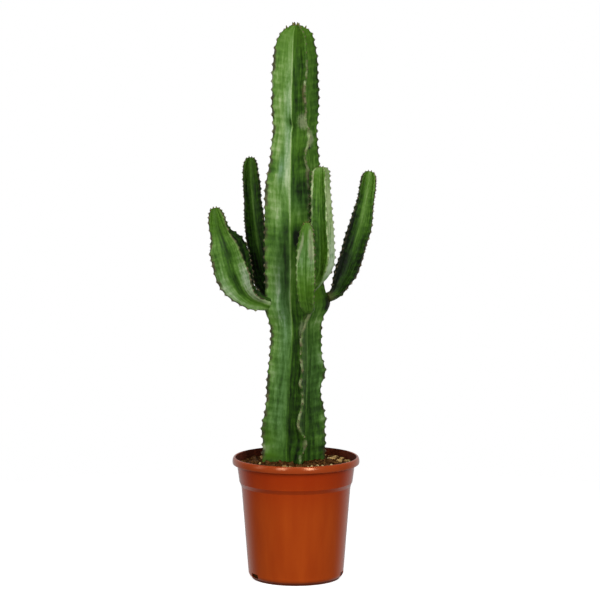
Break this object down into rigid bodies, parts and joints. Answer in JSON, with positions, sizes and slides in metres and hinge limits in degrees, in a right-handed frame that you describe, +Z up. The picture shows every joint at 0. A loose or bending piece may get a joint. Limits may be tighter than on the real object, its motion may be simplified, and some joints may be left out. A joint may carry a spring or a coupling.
{
  "type": "potted candelabra euphorbia",
  "caption": "Upright ribbed, spiny succulent trunk with short candelabra arms, standing in soil in a round terracotta-coloured plastic nursery pot.",
  "frame": {"origin": "centre of the pot's underside, on the surface that the pot stands on", "axes": "+Z up along the trunk; the plant's front, as pictured, faces -Y, and +X is to the right seen from the front"},
  "size_m": [0.2279, 0.1731, 0.7385],
  "materials": {
    "terracotta_plastic": "moulded polypropylene in a terracotta colour, satin to glossy",
    "potting_soil": "dark peat and bark chips with a few pale grains, matt",
    "euphorbia_skin": "waxy green succulent skin, paler along the crests, with pale marbling and dark spine shields"
  },
  "bodies": {
    "root": {"pot": "terracotta_plastic", "soil": "potting_soil", "trunk": "euphorbia_skin", "arm_left_front": "euphorbia_skin", "arm_back_left": "euphorbia_skin", "arm_right_front": "euphorbia_skin", "arm_front_short": "euphorbia_skin", "arm_right": "euphorbia_skin"}
  },
  "joints": []
}
